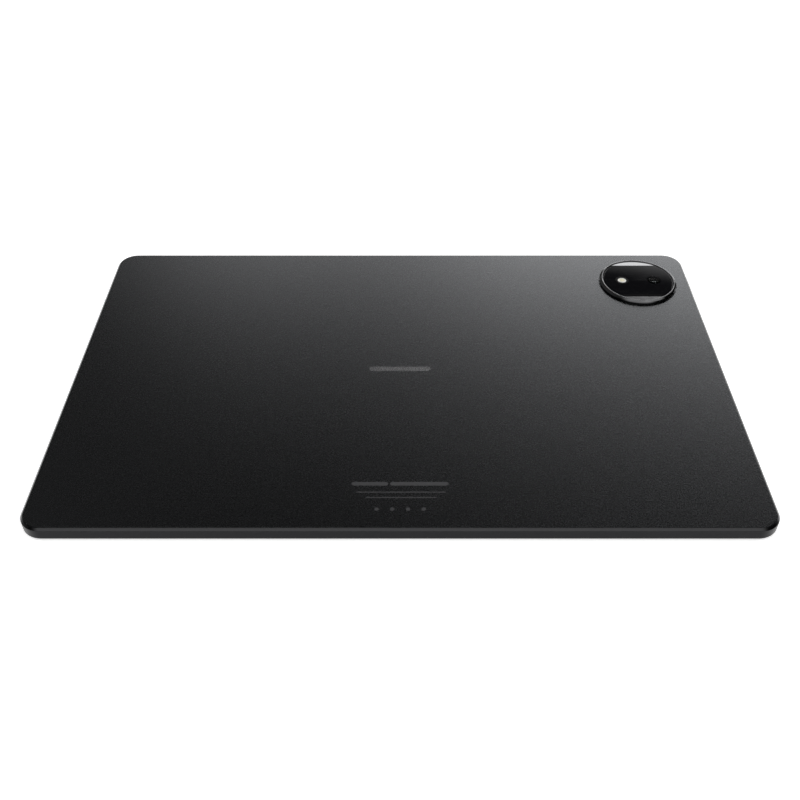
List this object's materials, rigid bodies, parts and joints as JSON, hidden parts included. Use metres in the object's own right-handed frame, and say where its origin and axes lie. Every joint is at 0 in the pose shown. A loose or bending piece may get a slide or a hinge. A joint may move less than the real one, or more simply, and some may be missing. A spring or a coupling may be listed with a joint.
{
  "type": "tablet computer",
  "caption": "Thin rectangular tablet computer lying screen down: satin graphite back, round raised camera island near a corner, side keys, speaker slots and a charging port.",
  "frame": {"origin": "middle of the outline, on the outer face of the front glass that the tablet lies on", "axes": "+X along the long side with the port at -X and the power key at +X, +Y to the long edge with the volume rocker, +Z out of the back cover"},
  "size_m": [0.2749, 0.1809, 0.0074],
  "materials": {
    "frame_metal": "dark graphite anodised, fine satin",
    "cover_metal": "graphite, fine satin grain",
    "camera_trim": "dark polished",
    "black_glass": "gloss, black behind",
    "clear_glass": "clear, polished",
    "diffuser": "milky, pale cream",
    "black_plastic": "fine matt black",
    "seal": "matt black",
    "panel_metal": "satin",
    "polyimide": "amber film",
    "circuit_board": "green solder mask",
    "chip": "matt black",
    "plated_steel": "bright plated",
    "battery_foil": "black laminated foil",
    "graphite_sheet": "dark satin",
    "port_steel": "satin plated",
    "fine_mesh": "black coated",
    "copper": "plain copper"
  },
  "bodies": {
    "housing": {"mid_frame": "frame_metal", "back_cover": "cover_metal", "camera_bezel": "camera_trim", "front_glass": "black_glass", "camera_glass": "black_glass", "front_camera_lens": "black_glass", "camera_window": "clear_glass", "flash_window": "diffuser", "camera_can": "black_plastic", "front_camera_can": "black_plastic", "usb_tongue": "black_plastic", "speaker_left_upper": "black_plastic", "speaker_left_lower": "black_plastic", "speaker_right_upper": "black_plastic", "speaker_right_lower": "black_plastic", "glass_gasket": "seal", "cover_adhesive": "seal", "display_panel": "panel_metal", "display_flex": "polyimide", "camera_flex": "polyimide", "key_flex": "polyimide", "usb_flex": "polyimide", "main_board": "circuit_board", "battery_board": "circuit_board", "usb_board": "circuit_board", "camera_sensor_board": "circuit_board", "flash_led": "circuit_board", "processor": "chip", "memory_chip": "chip", "power_chip": "chip", "light_sensor": "chip", "board_shield": "plated_steel", "power_switch": "plated_steel", "volume_up_switch": "plated_steel", "volume_down_switch": "plated_steel", "microphone_left": "plated_steel", "microphone_right": "plated_steel", "board_screw_1": "plated_steel", "board_screw_2": "plated_steel", "board_screw_3": "plated_steel", "board_screw_4": "plated_steel", "board_screw_5": "plated_steel", "board_screw_6": "plated_steel", "battery_cell_left": "battery_foil", "battery_cell_right": "battery_foil", "heat_spreader": "graphite_sheet", "usb_shell": "port_steel", "grille_mesh_left_upper": "fine_mesh", "grille_mesh_left_lower": "fine_mesh", "grille_mesh_right_upper": "fine_mesh", "grille_mesh_right_lower": "fine_mesh", "antenna_left": "copper", "antenna_right": "copper", "stylus_coil": "copper"},
    "power_key_body": {"power_key": "frame_metal", "power_plunger": "black_plastic"},
    "volume_rocker_body": {"volume_rocker": "frame_metal", "volume_up_plunger": "black_plastic", "volume_down_plunger": "black_plastic"},
    "lens_body": {"camera_lens_barrel": "black_plastic"}
  },
  "joints": [
    {"name": "power_key_press", "type": "slide", "parent": "housing", "child": "power_key_body", "axis": [-1, 0, 0], "range_m": [0, 0.0003], "stiffness_N_per_m": 4000},
    {"name": "volume_rocker_tilt", "type": "hinge", "parent": "housing", "child": "volume_rocker_body", "pos_m": [0.096, 0.0866, 0.00335], "axis": [0, 0, 1], "range_deg": [-1.2, 1.2], "stiffness_Nm_per_rad": 0.65},
    {"name": "camera_focus", "type": "slide", "parent": "housing", "child": "lens_body", "axis": [0, 0, 1], "range_m": [0, 0.0003], "stiffness_N_per_m": 400}
  ]
}
